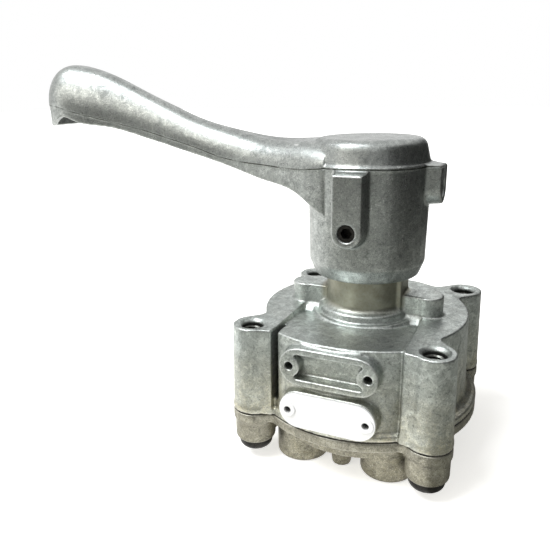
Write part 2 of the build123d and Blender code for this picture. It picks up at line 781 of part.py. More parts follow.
def cap_body(wall, bottom, top):
    # The turned form of the cap, or its hollow when it is drawn in by the wall.
    with BuildPart(mode=Mode.PRIVATE) as body:
        with BuildSketch(Plane.XZ):
            with BuildLine():
                Polyline(
                    (0, bottom),
                    (cap_bottom_radius - wall, bottom),
                    (cap_lower_radius - wall, cap_bottom + cap_bevel_height),
                    (cap_parting_radius - wall, cap_parting),
                    (cap_parting_radius + cap_lip - wall, cap_parting),
                    (cap_parting_radius + cap_lip - wall, cap_parting + cap_lip_height),
                    (cap_dome_radius - wall, cap_parting + 2 * cap_lip_height),
                    (cap_crown_radius - wall, top),
                    (0, top),
                    close=True,
                )
            make_face()
        revolve(axis=Axis.Z)
        fillet(body.edges().group_by(Axis.Z)[-1], cap_shoulder_radius - wall / 2)
    return body.part


# The clamp screws pass through slot-shaped bosses that run down from the parting line.
front_clamp = Plane(origin=(0, 0, front_clamp_height), x_dir=(1, 0, 0), z_dir=(0, -1, 0))
side_clamp = Plane(origin=(0, 0, side_clamp_height), x_dir=(0, 1, 0), z_dir=(1, 0, 0))
clamps = [
    (front_clamp, cap_parting - front_clamp_height),
    (side_clamp, cap_parting - side_clamp_height + side_boss_rise),
]
boss_root = cap_lower_radius - cap_wall

# The lever is one hollow casting, open below: a cap round the shaft hub and a long arm with a grip.
with BuildPart() as lever:
    for station in arm_stations:
        add(arm_section(station, lip=arm_lip))
    loft()
    add(cap_body(0, cap_bottom, cap_top))
    for plane, rise in clamps:
        with BuildSketch(plane.offset(boss_root)):
            Circle(clamp_boss_radius + boss_spread)
            with Locations((0, rise / 2)):
                Rectangle(2 * (clamp_boss_radius + boss_spread), rise)
        extrude(amount=clamp_boss_face - boss_root, taper=clamp_boss_taper)
    # The inside of the arm and of the cap is open below, round the hub and its two screw bosses.
    with BuildPart(mode=Mode.PRIVATE) as inside:
        for station in arm_stations[:-1]:
            add(arm_section(station, arm_wall))
        loft()
        add(cap_body(cap_wall, cap_bottom - cap_wall, cap_ceiling))
        with BuildSketch(Plane.XY.offset(lever_hub_bottom)):
            Circle(lever_hub_radius)
        extrude(amount=cap_top - lever_hub_bottom, mode=Mode.SUBTRACT)
        for plane, rise in clamps:
            with BuildSketch(plane):
                Circle(clamp_boss_radius)
            extrude(amount=cap_parting_radius, mode=Mode.SUBTRACT)
    add(inside.part, mode=Mode.SUBTRACT)
    with BuildSketch(Plane.XY.offset(lever_hub_bottom)):
        Circle(shaft_radius)
    extrude(amount=shaft_top - lever_hub_bottom + fit_clearance, mode=Mode.SUBTRACT)
    for plane, rise in clamps:
        with BuildSketch(plane):
            Circle(set_screw_radius)
        extrude(amount=clamp_boss_face, mode=Mode.SUBTRACT)
keep(lever, "lever")

# Each clamp screw is a headless screw with a hex socket, tight on the shaft.
for plane, name in ((front_clamp, "set_screw_front"), (side_clamp, "set_screw_side")):
    with BuildPart() as set_screw:
        with BuildSketch(plane.offset(shaft_radius)):
            Circle(set_screw_radius - fit_clearance)
        extrude(amount=set_screw_length)
        with BuildSketch(plane.offset(shaft_radius + set_screw_length)):
            RegularPolygon(set_screw_socket / sqrt(3), 6)
        extrude(amount=-set_screw_socket_depth, mode=Mode.SUBTRACT)
    keep(set_screw, name)
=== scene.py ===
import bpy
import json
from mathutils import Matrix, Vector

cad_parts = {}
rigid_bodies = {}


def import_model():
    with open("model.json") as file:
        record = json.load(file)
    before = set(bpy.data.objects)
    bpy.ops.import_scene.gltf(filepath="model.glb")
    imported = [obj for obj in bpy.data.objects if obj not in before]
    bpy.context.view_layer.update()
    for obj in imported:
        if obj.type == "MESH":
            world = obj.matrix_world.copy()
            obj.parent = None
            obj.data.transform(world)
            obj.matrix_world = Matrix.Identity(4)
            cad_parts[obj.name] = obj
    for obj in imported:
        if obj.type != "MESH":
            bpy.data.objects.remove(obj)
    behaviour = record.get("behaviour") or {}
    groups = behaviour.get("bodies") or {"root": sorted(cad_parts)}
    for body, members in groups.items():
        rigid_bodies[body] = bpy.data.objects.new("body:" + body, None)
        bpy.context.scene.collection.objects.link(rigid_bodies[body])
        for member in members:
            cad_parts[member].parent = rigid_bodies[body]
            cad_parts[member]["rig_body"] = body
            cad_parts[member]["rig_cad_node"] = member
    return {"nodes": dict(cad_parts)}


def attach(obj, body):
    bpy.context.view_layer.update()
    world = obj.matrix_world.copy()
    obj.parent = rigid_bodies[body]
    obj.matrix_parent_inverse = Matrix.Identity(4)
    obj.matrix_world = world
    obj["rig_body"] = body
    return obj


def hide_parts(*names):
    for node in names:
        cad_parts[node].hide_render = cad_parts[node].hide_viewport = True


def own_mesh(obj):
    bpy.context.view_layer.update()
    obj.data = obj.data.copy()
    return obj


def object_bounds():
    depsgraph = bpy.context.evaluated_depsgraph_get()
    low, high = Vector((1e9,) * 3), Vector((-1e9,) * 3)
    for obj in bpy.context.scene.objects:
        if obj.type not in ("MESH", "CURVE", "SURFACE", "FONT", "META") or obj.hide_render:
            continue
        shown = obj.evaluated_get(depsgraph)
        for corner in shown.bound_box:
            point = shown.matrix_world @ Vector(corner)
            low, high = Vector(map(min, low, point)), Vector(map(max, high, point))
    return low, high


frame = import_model()
cadBox = [list(corner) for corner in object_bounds()]

import bpy
import json
from math import cos, pi, radians, sin
from mathutils import Matrix, Vector

nodes = frame["nodes"]
mm = 0.001
columnPitch = 37  # the column holes stand this far from the middle, both ways
columnCentres = [(x, y) for x in (-columnPitch, columnPitch) for y in (-columnPitch, columnPitch)]
portRing = 32.226
portCentres = [(portRing * cos(radians(-54 + 72 * k)),
                portRing * sin(radians(-54 + 72 * k))) for k in range(5)]
print("frame loaded:", len(nodes), "CAD nodes")


# general helpers

def deselectAll():
    if bpy.context.object and bpy.context.object.mode != "OBJECT":
        bpy.ops.object.mode_set(mode="OBJECT")
    bpy.ops.object.select_all(action="DESELECT")


def activate(piece):
    deselectAll()
    piece.select_set(True)
    bpy.context.view_layer.objects.active = piece


def applyModifier(piece, kind, **settings):
    activate(piece)
    modifier = piece.modifiers.new(kind.title(), kind)
    for name, value in settings.items():
        setattr(modifier, name, value)
    bpy.ops.object.modifier_apply(modifier=modifier.name)


def settle(piece):  # puts the object at the origin and keeps its place in the mesh
    activate(piece)
    bpy.ops.object.transform_apply(location=True, rotation=True, scale=True)


def finishPiece(piece, body, slotName, material, *replaced):
    settle(piece)
    piece.data.materials.clear()
    piece.data.materials.append(material)
    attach(piece, body)
    if replaced:
        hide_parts(*replaced)


# materials

def hexColour(text):  # sRGB hex to linear
    channels = [int(text[i:i + 2], 16) / 255 for i in (1, 3, 5)]
    return [c / 12.92 if c <= 0.04045 else ((c + 0.055) / 1.055) ** 2.4 for c in channels] + [1]


def perMm(size):  # scale of a pattern whose features are this many millimetres across
    return 1000 / size


def addNode(tree, kind, inputs=None, **settings):
    node = tree.nodes.new(kind)
    for name, value in settings.items():
        setattr(node, name, value)
    for name, value in (inputs or {}).items():
        if isinstance(value, bpy.types.NodeSocket):
            tree.links.new(value, node.inputs[name])
        else:
            node.inputs[name].default_value = value
    return node


def setRamp(node, stops):
    ramp = node.color_ramp
    while len(ramp.elements) > len(stops):
        ramp.elements.remove(ramp.elements[-1])
    while len(ramp.elements) < len(stops):
        ramp.elements.new(1)
    for element, (position, colour) in zip(ramp.elements, stops):
        element.position = position
        element.color = colour if isinstance(colour, list) else [colour] * 3 + [1]


def newMaterial(name, **settings):
    material = bpy.data.materials.new(name)
    material.use_nodes = True
    tree = material.node_tree
    shader = tree.nodes["Principled BSDF"]
    for socket, value in settings.items():
        shader.inputs[socket.replace("_", " ")].default_value = value
    return material, tree, shader, addNode(tree, "ShaderNodeTexCoord").outputs["Object"]


# Die-cast aluminium, tumbled and shot-blasted: a fine light and dark grain over soft clouds,
# brownish where it was handled and left unpolished, painted shade darkening the corners, and bright along worn
# edges.
castTones = {
    "housing": dict(base="#CBD2CE", light="#F2F3EF", dark="#6B6F6C", warm="#C4BFA8", rough=0.37, metal=0.92,
                    warmTop=-6, warmFoot=-38),
    "cover": dict(base="#AEAB9D", light="#D9D6C9", dark="#56534A", warm="#8A856F", rough=0.43, metal=0.86,
                  warmTop=-34, warmFoot=-60),
    "lever": dict(base="#AAAEAB", light="#E6E7E4", dark="#646866", warm="#A0A198", rough=0.30, metal=0.95,
                  warmTop=20, warmFoot=10),
}
# the last two values are the reach and colour of the painted shade in the corners
castPattern = dict(grain=0.45, speck=0.95, cloud=9, blotch=4.5, chip=1.4, scuff=1.3, scuffLength=9,
                   relief=0.05, cornerShadeReach=2.4, cornerShade="#34342D")


def castAlloy(name, tones, special):
    material, tree, shader, place = newMaterial(name, Metallic=tones["metal"])
    grain = addNode(tree, "ShaderNodeTexNoise", {"Vector": place, "Scale": perMm(castPattern["grain"]),
                                                 "Detail": 3, "Roughness": 0.6})
    speck = addNode(tree, "ShaderNodeTexNoise", {"Vector": place, "Scale": perMm(castPattern["speck"]),
                                                 "Detail": 5, "Roughness": 0.75})
    cloud = addNode(tree, "ShaderNodeTexNoise", {"Vector": place, "Scale": perMm(castPattern["cloud"]),
                                                 "Detail": 4, "Roughness": 0.6, "Distortion": 0.5})
    # the unpolished lower part is browner
    height = addNode(tree, "ShaderNodeSeparateXYZ", {"Vector": place})
    low = addNode(tree, "ShaderNodeMapRange", {"Value": height.outputs["Z"],
                                               "From Min": tones["warmTop"] * mm,
                                               "From Max": tones["warmFoot"] * mm, "To Min": 0.15,
                                               "To Max": 0.95})
    warmth = addNode(tree, "ShaderNodeMath", {0: cloud.outputs["Fac"], 1: low.outputs["Result"]},
                     operation="MULTIPLY")
    warmMask = addNode(tree, "ShaderNodeMapRange",
                       {"Value": warmth.outputs["Value"], "From Min": 0.05, "From Max": 0.5})
    tint = addNode(tree, "ShaderNodeMix", {0: warmMask.outputs["Result"], 6: hexColour(tones["base"]),
                                           7: hexColour(tones["warm"])}, data_type="RGBA")
    darkMask = addNode(tree, "ShaderNodeValToRGB", {"Fac": speck.outputs["Fac"]})
    setRamp(darkMask, [(0.34, 0.65), (0.5, 0.0)])
    darker = addNode(tree, "ShaderNodeMix", {0: darkMask.outputs["Color"], 6: tint.outputs[2],
                                             7: hexColour(tones["dark"])}, data_type="RGBA")
    lightMask = addNode(tree, "ShaderNodeValToRGB", {"Fac": grain.outputs["Fac"]})
    setRamp(lightMask, [(0.52, 0.0), (0.68, 0.6)])
    lighter = addNode(tree, "ShaderNodeMix", {0: lightMask.outputs["Color"], 6: darker.outputs[2],
                                              7: hexColour(tones["light"])}, data_type="RGBA")
    # dull blotches of oxide with ragged edges
    blotch = addNode(tree, "ShaderNodeTexNoise", {"Vector": place, "Scale": perMm(castPattern["blotch"]),
                                                  "Detail": 9, "Roughness": 0.72, "Distortion": 0.9})
    blotchMask = addNode(tree, "ShaderNodeValToRGB", {"Fac": blotch.outputs["Fac"]})
    setRamp(blotchMask, [(0.43, 0.0), (0.49, 0.3), (0.57, 0.36), (0.65, 0.75)])
    oxidised = addNode(tree, "ShaderNodeMix", {0: blotchMask.outputs["Color"], 6: lighter.outputs[2],
                                               7: hexColour(tones["dark"])}, data_type="RGBA")
    # small dark chips where pieces struck each other
    chip = addNode(tree, "ShaderNodeTexVoronoi", {"Vector": place, "Scale": perMm(castPattern["chip"]),
                                                  "Randomness": 1.0}, feature="F1")
    chipMask = addNode(tree, "ShaderNodeMapRange",
                       {"Value": chip.outputs["Distance"], "From Min": 0.10, "From Max": 0.26,
                        "To Min": 0.75, "To Max": 0.0})
    chipPatch = addNode(tree, "ShaderNodeMath", {0: chipMask.outputs["Result"], 1: blotch.outputs["Fac"]},
                        operation="MULTIPLY")
    chipped = addNode(tree, "ShaderNodeMix", {0: chipPatch.outputs["Value"], 6: oxidised.outputs[2],
                                              7: hexColour(tones["dark"])}, data_type="RGBA")
    # long faint scuffs from the tumbling drum
    along = addNode(tree, "ShaderNodeMapping", {"Vector": place, "Rotation": (0.5, 0.9, 0.3),
                                                "Scale": (1, castPattern["scuff"] / castPattern["scuffLength"], 1)})
    scuff = addNode(tree, "ShaderNodeTexNoise", {"Vector": along.outputs["Vector"],
                                                 "Scale": perMm(castPattern["scuff"]), "Detail": 2,
                                                 "Distortion": 1.2})
    scuffMask = addNode(tree, "ShaderNodeValToRGB", {"Fac": scuff.outputs["Fac"]})
    setRamp(scuffMask, [(0.485, 0.0), (0.5, 0.4), (0.515, 0.0)])
    scuffed = addNode(tree, "ShaderNodeMix", {0: scuffMask.outputs["Color"], 6: chipped.outputs[2],
                                              7: hexColour(tones["light"])}, data_type="RGBA")
    # worn edges are bright
    form = addNode(tree, "ShaderNodeNewGeometry")
    edge = addNode(tree, "ShaderNodeMapRange", {"Value": form.outputs["Pointiness"], "From Min": 0.52,
                                                "From Max": 0.6, "To Max": 0.7})
    worn = addNode(tree, "ShaderNodeMix", {0: edge.outputs["Result"], 6: scuffed.outputs[2],
                                           7: hexColour(tones["light"])}, data_type="RGBA")
    colour, mark = special(tree, place, worn.outputs[2])
    # painted shade: darker in the corners, from ambient occlusion
    cornerShade = addNode(tree, "ShaderNodeAmbientOcclusion", {"Distance": castPattern["cornerShadeReach"] * mm},
                   samples=6)
    cornerShadeMask = addNode(tree, "ShaderNodeValToRGB", {"Fac": cornerShade.outputs["AO"]})
    setRamp(cornerShadeMask, [(0.2, 0.75), (0.8, 0.0)])
    cornerShaded = addNode(tree, "ShaderNodeMix", {0: cornerShadeMask.outputs["Color"], 6: colour,
                                            7: hexColour(castPattern["cornerShade"])}, data_type="RGBA")
    tree.links.new(cornerShaded.outputs[2], shader.inputs["Base Color"])
    gloss = addNode(tree, "ShaderNodeMapRange", {"Value": blotch.outputs["Fac"], "From Min": 0.3,
                                                 "From Max": 0.7, "To Min": tones["rough"] - 0.06,
                                                 "To Max": tones["rough"] + 0.12})
    tree.links.new(gloss.outputs["Result"], shader.inputs["Roughness"])
    relief = addNode(tree, "ShaderNodeMath", {0: grain.outputs["Fac"], 1: speck.outputs["Fac"]},
                     operation="ADD")
    cut = addNode(tree, "ShaderNodeMath", {0: relief.outputs["Value"], 1: mark}, operation="SUBTRACT")
    bump = addNode(tree, "ShaderNodeBump", {"Height": cut.outputs["Value"],
                                            "Distance": castPattern["relief"] * mm, "Strength": 1.0})
    tree.links.new(bump.outputs["Normal"], shader.inputs["Normal"])
    return material


# The neck is stained brown by grease and heat, and its foot stays bright.
neckStain = dict(reach=18.2, fade=1.6, foot=1.5, rise=3.0, colour="#B4B19E", deep="#6E6B58", patch=3.5)


# The bores of the column tops are darkened below their rim: painted shade inside the holes.
boreShade = dict(radius=4.9, top=-0.7, full=-1.8, amount=0.9, colour="#1F1E1A")


def neckStainAndBoreShade(tree, place, colour):
    axes = addNode(tree, "ShaderNodeSeparateXYZ", {"Vector": place})
    flat = addNode(tree, "ShaderNodeCombineXYZ", {"X": axes.outputs["X"], "Y": axes.outputs["Y"]})
    reach = addNode(tree, "ShaderNodeVectorMath", {0: flat.outputs["Vector"]}, operation="LENGTH")
    around = addNode(tree, "ShaderNodeMapRange", {"Value": reach.outputs["Value"],
                                                  "From Min": neckStain["reach"] * mm,
                                                  "From Max": (neckStain["reach"] + neckStain["fade"]) * mm,
                                                  "To Min": 1.0, "To Max": 0.0})
    above = addNode(tree, "ShaderNodeMapRange", {"Value": axes.outputs["Z"],
                                                 "From Min": neckStain["foot"] * mm,
                                                 "From Max": (neckStain["foot"] + neckStain["rise"]) * mm,
                                                 "To Max": 0.85})
    zone = addNode(tree, "ShaderNodeMath", {0: around.outputs["Result"], 1: above.outputs["Result"]},
                   operation="MULTIPLY")
    patch = addNode(tree, "ShaderNodeTexNoise", {"Vector": place, "Scale": perMm(neckStain["patch"]),
                                                 "Detail": 6, "Roughness": 0.7})
    stain = addNode(tree, "ShaderNodeMix", {0: patch.outputs["Fac"], 6: hexColour(neckStain["colour"]),
                                            7: hexColour(neckStain["deep"])}, data_type="RGBA")
    stained = addNode(tree, "ShaderNodeMix", {0: zone.outputs["Value"], 6: colour, 7: stain.outputs[2]},
                      data_type="RGBA")
    # painted shade: the column bores darken below their rim
    across = addNode(tree, "ShaderNodeVectorMath", {0: flat.outputs["Vector"]}, operation="ABSOLUTE")
    corner = addNode(tree, "ShaderNodeVectorMath",
                     {0: across.outputs["Vector"], 1: (columnPitch * mm, columnPitch * mm, 0)},
                     operation="DISTANCE")
    inBore = addNode(tree, "ShaderNodeMath", {0: corner.outputs["Value"], 1: boreShade["radius"] * mm},
                     operation="LESS_THAN")
    below = addNode(tree, "ShaderNodeMapRange", {"Value": axes.outputs["Z"],
                                                 "From Min": boreShade["top"] * mm,
                                                 "From Max": boreShade["full"] * mm,
                                                 "To Max": boreShade["amount"]})
    bore = addNode(tree, "ShaderNodeMath", {0: inBore.outputs["Value"], 1: below.outputs["Result"]},
                   operation="MULTIPLY")
    boreShaded = addNode(tree, "ShaderNodeMix", {0: bore.outputs["Value"], 6: stained.outputs[2],
                                              7: hexColour(boreShade["colour"])}, data_type="RGBA")
    return boreShaded.outputs[2], 0.0


def plainCover(tree, place, colour):
    return colour, 0.0


# The halves of the mould met along the arm and round the cap: a thin line with gaps, its dark colour painted shade
# along the seam's small step, with a bump for depth.
partingLine = dict(
    start=-170, end=30, floor=56, roof=92, width=0.4, colour="#363832", gap=9, depth=3.0,
    points=[(-168, 86.8), (-161.6, 86.4), (-154, 85.6), (-149.4, 84.8), (-143, 83.0), (-127, 79.3),
            (-105, 74.5), (-92, 71.2),
            (-80, 68.1), (-58, 62.6), (-41, 61.5), (-26, 61.0), (-16, 61.7), (-10, 62.3), (28, 62.3)])


def lineOnLever(tree, place, colour):
    axes = addNode(tree, "ShaderNodeSeparateXYZ", {"Vector": place})
    along = addNode(tree, "ShaderNodeMapRange", {"Value": axes.outputs["X"],
                                                 "From Min": partingLine["start"] * mm,
                                                 "From Max": partingLine["end"] * mm})
    course = addNode(tree, "ShaderNodeFloatCurve", {"Value": along.outputs["Result"]})
    curve = course.mapping.curves[0]
    spots = [((x - partingLine["start"]) / (partingLine["end"] - partingLine["start"]),
              (z - partingLine["floor"]) / (partingLine["roof"] - partingLine["floor"])) for x,
              z in partingLine["points"]]
    curve.points[0].location = (0, spots[0][1])
    curve.points[1].location = (1, spots[-1][1])
    for spot in spots:
        curve.points.new(*spot)
    course.mapping.update()
    level = addNode(tree, "ShaderNodeMapRange", {"Value": course.outputs["Value"],
                                                 "To Min": partingLine["floor"] * mm,
                                                 "To Max": partingLine["roof"] * mm})
    offset = addNode(tree, "ShaderNodeMath", {0: axes.outputs["Z"], 1: level.outputs["Result"]},
                     operation="SUBTRACT")
    away = addNode(tree, "ShaderNodeMath", {0: offset.outputs["Value"]}, operation="ABSOLUTE")
    near = addNode(tree, "ShaderNodeMapRange", {"Value": away.outputs["Value"],
                                                "From Min": partingLine["width"] * 0.4 * mm,
                                                "From Max": partingLine["width"] * mm, "To Min": 1.0,
                                                "To Max": 0.0})
    gaps = addNode(tree, "ShaderNodeTexNoise", {"Vector": place, "Scale": perMm(partingLine["gap"]),
                                                "Detail": 3})
    kept = addNode(tree, "ShaderNodeMapRange", {"Value": gaps.outputs["Fac"], "From Min": 0.38,
                                                "From Max": 0.5, "To Min": 0.25, "To Max": 0.95})
    line = addNode(tree, "ShaderNodeMath", {0: near.outputs["Result"], 1: kept.outputs["Result"]},
                   operation="MULTIPLY")
    lined = addNode(tree, "ShaderNodeMix", {0: line.outputs["Value"], 6: colour,
                                            7: hexColour(partingLine["colour"])}, data_type="RGBA")
    depth = addNode(tree, "ShaderNodeMath", {0: line.outputs["Value"], 1: partingLine["depth"]},
                    operation="MULTIPLY")
    return lined.outputs[2], depth.outputs["Value"]


housingAlloy = castAlloy("tumbledCastHousing", castTones["housing"], neckStainAndBoreShade)
coverAlloy = castAlloy("tumbledCastCover", castTones["cover"], plainCover)
leverAlloy = castAlloy("polishedCastLever", castTones["lever"], lineOnLever)

# The smaller pieces: each has its own pattern, with its size and direction in millimetres.
# the last two values are the reach and colour of the painted shade in the corners
smallPattern = dict(wear=4, cornerReach=4, shadeColour="#1E1D19")
finishValues = {
    # pressed fibre sheet, dark and dull, with short pale fibres
    "gasket_paper": dict(name="pressedGasketPaper", low="#211F1B", high="#4A463D", metal=0, rough=0.85,
                         size=(0.5, 0.5, 0.2), relief=0.05, spread=0.12),
    # black oxide over steel: deep, slightly brown, greasy sheen, rubbed grey in places
    "black_steel": dict(name="blackOxideSteel", low="#12110F", high="#34322D", metal=0.6, rough=0.42,
                        size=(0.6, 0.6, 0.6), relief=0.03, spread=0.15),
    # anodised aluminium sheet, brushed along its length; its near-white, non-metallic colour is painted reflection
    # of the bright floor
    "plate_aluminium": dict(name="brushedPlateWithPaintedReflection", low="#F4F4F3", high="#FFFFFF", metal=0.0,
                            rough=0.38, size=(7, 0.5, 0.18), relief=0.01, spread=0.1),
    # turned bronze: yellow-brown with fine tool rings
    "bearing_bronze": dict(name="turnedBronze", low="#8A6A38", high="#B8935A", metal=1, rough=0.34,
                           size=(4, 4, 0.22), relief=0.02, spread=0.2),
    # moulded nitrile rubber: matt black with a faint grey bloom
    "seal_rubber": dict(name="mouldedNitrile", low="#131313", high="#2A2A29", metal=0, rough=0.62,
                        size=(0.8, 0.8, 0.8), relief=0.02, spread=0.2),
    # tempered spring steel: straw and blue-grey clouds
    "spring_steel": dict(name="temperedSpringSteel", low="#5B5A5C", high="#8D8574", metal=1, rough=0.34,
                         size=(3, 3, 3), relief=0.01, spread=0.2),
    # ground steel: bright with fine crossing grinding lines
    "ground_steel": dict(name="groundSteel", low="#9C9D9C", high="#C4C4C1", metal=1, rough=0.26,
                         size=(0.2, 5, 5), relief=0.01, spread=0.2),
    # lapped acetal: waxy off-white
    "slide_plastic": dict(name="lappedAcetal", low="#D6D3C6", high="#ECE9DE", metal=0, rough=0.4,
                          size=(0.7, 0.7, 0.7), relief=0.01, spread=0.2),
    # sintered bronze balls: a rough granular face
    "sintered_bronze": dict(name="sinteredBronze", low="#4D3E22", high="#A5854C", metal=0.9, rough=0.55,
                            size=(0.45, 0.45, 0.45), relief=0.15, spread=0.1),
    # cut thread in the casting: bare bright flanks, darker between them by painted shade
    "cut_thread": dict(name="cutAlloyThread", low="#3A3A36", high="#8E908A", metal=0.8, rough=0.36,
                       size=(0.8, 0.8, 0.5), relief=0.02, spread=0.15),
}


def smallFinish(values):
    material, tree, shader, place = newMaterial(values["name"], Metallic=values["metal"])
    stretch = addNode(tree, "ShaderNodeMapping", {"Vector": place,
                                                  "Scale": [perMm(size) for size in values["size"]]})
    if values["relief"] > 0.1:
        pattern = addNode(tree, "ShaderNodeTexVoronoi", {"Vector": stretch.outputs["Vector"], "Scale": 1.0},
                          feature="F1")
        pattern = pattern.outputs["Distance"]
    else:
        pattern = addNode(tree, "ShaderNodeTexNoise",
                          {"Vector": stretch.outputs["Vector"], "Scale": 1.0, "Detail": 6,
                           "Roughness": 0.65})
        pattern = pattern.outputs["Fac"]
    wear = addNode(tree, "ShaderNodeTexNoise", {"Vector": place, "Scale": perMm(smallPattern["wear"]),
                                                "Detail": 5})
    blend = addNode(tree, "ShaderNodeMath", {0: pattern, 1: wear.outputs["Fac"]}, operation="MULTIPLY")
    ramp = addNode(tree, "ShaderNodeValToRGB", {"Fac": blend.outputs["Value"]})
    setRamp(ramp, [(0.25 - values["spread"] / 2, hexColour(values["low"])),
                   (0.25 + values["spread"], hexColour(values["high"]))])
    # painted shade: darker in the corners, from ambient occlusion
    corner = addNode(tree, "ShaderNodeAmbientOcclusion", {"Distance": smallPattern["cornerReach"] * mm},
                     samples=6)
    smallShadeMask = addNode(tree, "ShaderNodeMapRange",
                         {"Value": corner.outputs["AO"], "From Min": 0.1, "From Max": 0.5, "To Min": 0.95,
                          "To Max": 0.0})
    shadedCorners = addNode(tree, "ShaderNodeMix", {0: smallShadeMask.outputs["Result"], 6: ramp.outputs["Color"],
                                             7: hexColour(smallPattern["shadeColour"])}, data_type="RGBA")
    tree.links.new(shadedCorners.outputs[2], shader.inputs["Base Color"])
    shine = addNode(tree, "ShaderNodeMapRange", {"Value": wear.outputs["Fac"], "From Min": 0.3,
                                                 "From Max": 0.7, "To Min": values["rough"] + 0.1,
                                                 "To Max": values["rough"] - 0.08})
    tree.links.new(shine.outputs["Result"], shader.inputs["Roughness"])
    bump = addNode(tree, "ShaderNodeBump", {"Height": pattern, "Distance": values["relief"] * mm})
    tree.links.new(bump.outputs["Normal"], shader.inputs["Normal"])
    return material


finishes = {slotName: smallFinish(values) for slotName, values in finishValues.items()}
print("materials made")

slotOf = {
    "gasket_paper": ["cover_gasket"],
    "black_steel": ["cover_screws", "set_screw_front", "set_screw_side"],
    "plate_aluminium": ["name_plate", "plate_rivets"],
    "bearing_bronze": ["neck_bush", "thrust_washer"],
    "seal_rubber": ["shaft_wiper", "port_seals"],
    "spring_steel": ["pressure_spring", "return_spring", "detent_leaf", "silencer_ring"],
    "ground_steel": ["control_shaft", "drive_hub", "index_plate", "port_plate", "plate_dowels"],
    "slide_plastic": ["valve_slide"],
    "sintered_bronze": ["silencer_disc"],
}
for slotName, names in slotOf.items():
    for nodeName in names:
        nodes[nodeName].data.materials.clear()
        nodes[nodeName].data.materials.append(finishes[slotName])


# castings: each is a skin over its CAD solid, with the edges rounded as tumbling leaves them;
# leadIns are cones at the mouths of the threaded holes, cut a little past the surface

castings = {
    "housingCasting": dict(node="upper_housing", body="housing", voxel=0.55, rounds=3, faces=95000,
                           material=housingAlloy,
                          leadIns=dict(centres=columnCentres, mouth=5.8, foot=4.25, depth=1.55, over=0.3)),
    "coverCasting": dict(node="base_cover", body="housing", voxel=0.6, rounds=3, faces=95000,
                         material=coverAlloy),
    "leverCasting": dict(node="lever", body="handle", voxel=0.5, rounds=5, faces=95000,
                         material=leverAlloy),
}


def cutLeadIns(piece, centres, mouth, foot, depth, over):  # a cone at the mouth of each threaded hole
    for x, y in centres:
        bpy.ops.mesh.primitive_cone_add(vertices=48, radius1=foot * mm,
                                        radius2=(mouth + (mouth - foot) * over) * mm,
                                        depth=depth * (1 + over) * mm,
                                        location=(x * mm, y * mm, (-depth + depth * (1 + over) / 2) * mm))
        cone = bpy.context.object
        settle(cone)
        applyModifier(piece, "BOOLEAN", operation="DIFFERENCE", object=cone, solver="EXACT")
        bpy.data.objects.remove(cone)


def copyNode(nodeName, name):
    activate(nodes[nodeName])
    bpy.ops.object.duplicate()
    piece = bpy.context.object
    piece.name = name
    piece.data.name = name
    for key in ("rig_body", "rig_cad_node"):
        del piece[key]
    bpy.ops.object.parent_clear(type="CLEAR_KEEP_TRANSFORM")
    return piece


def makeCasting(name, values):
    piece = copyNode(values["node"], name)
    bpy.ops.object.mode_set(mode="EDIT")
    bpy.ops.mesh.select_all(action="SELECT")
    bpy.ops.mesh.remove_doubles(threshold=1e-6)
    bpy.ops.object.mode_set(mode="OBJECT")
    if "leadIns" in values:
        cutLeadIns(piece, **values["leadIns"])
    applyModifier(piece, "REMESH", mode="VOXEL", voxel_size=values["voxel"] * mm, use_smooth_shade=True)
    applyModifier(piece, "SMOOTH", factor=0.5, iterations=values["rounds"])
    quads = len(piece.data.polygons)
    if quads > values["faces"]:
        applyModifier(piece, "DECIMATE", ratio=values["faces"] / quads)
    activate(piece)
    bpy.ops.object.shade_smooth()
    finishPiece(piece, values["body"], "cast_alloy", values["material"], values["node"])
    print(name, "has", quads, "faces, kept", len(piece.data.polygons))


for name, values in castings.items():
    makeCasting(name, values)


# the return spring, which the shaft's collar presses flat, is copied from its CAD node as it is

coil = copyNode("return_spring", "returnCoil")
finishPiece(coil, "rotor", "spring_steel", finishes["spring_steel"], "return_spring")
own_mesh(coil)
print("returnCoil has", len(coil.data.polygons), "faces")


# threads cut in the column tops and in the ports: a diamond profile wound up round each bore

threads = {
    "columnThreads": dict(centres=columnCentres, bore=4.25, low=-13.5, pitch=1.6, turns=7, depth=0.55),
    "portThreads": dict(centres=portCentres, bore=7.25, low=-59.0, pitch=1.6, turns=7, depth=0.6),
}


def makeThreads(name, values):
    bpy.ops.mesh.primitive_circle_add(vertices=4, radius=values["depth"] * mm, fill_type="NOTHING",
                                      location=(values["bore"] * mm, 0,
                                                values["low"] * mm), rotation=(pi / 2, 0, 0))
    first = bpy.context.object
    settle(first)
    applyModifier(first, "SCREW", axis="Z", angle=2 * pi, screw_offset=values["pitch"] * mm,
                  iterations=values["turns"], steps=36, render_steps=36)
    bpy.ops.object.mode_set(mode="EDIT")
    bpy.ops.mesh.select_all(action="SELECT")
    bpy.ops.mesh.fill_holes(sides=4)
    bpy.ops.mesh.select_all(action="SELECT")
    bpy.ops.mesh.normals_make_consistent(inside=False)
    bpy.ops.object.mode_set(mode="OBJECT")
    copies = [first]
    for x, y in values["centres"][1:]:
        activate(first)
        bpy.ops.object.duplicate()
        copies.append(bpy.context.object)
    for piece, (x, y) in zip(copies, values["centres"]):
        piece.location = (x * mm, y * mm, 0)
        settle(piece)
    deselectAll()
    for piece in copies:
        piece.select_set(True)
    bpy.context.view_layer.objects.active = first
    bpy.ops.object.join()
    first.name = name
    first.data.name = name
    activate(first)
    bpy.ops.object.shade_smooth_by_angle(angle=radians(30))
    finishPiece(first, "housing", "cast_alloy", finishes["cut_thread"])
    print(name, "has", len(first.data.polygons), "faces")


for name, values in threads.items():
    makeThreads(name, values)


# camera, where the photograph was taken from

cameraView = dict(place=(65.76, -235.05, 92.14), azimuth=24.957, elevation=17.810, roll=-1.115,
                  focal=582.44, frame=550, sensor=36)

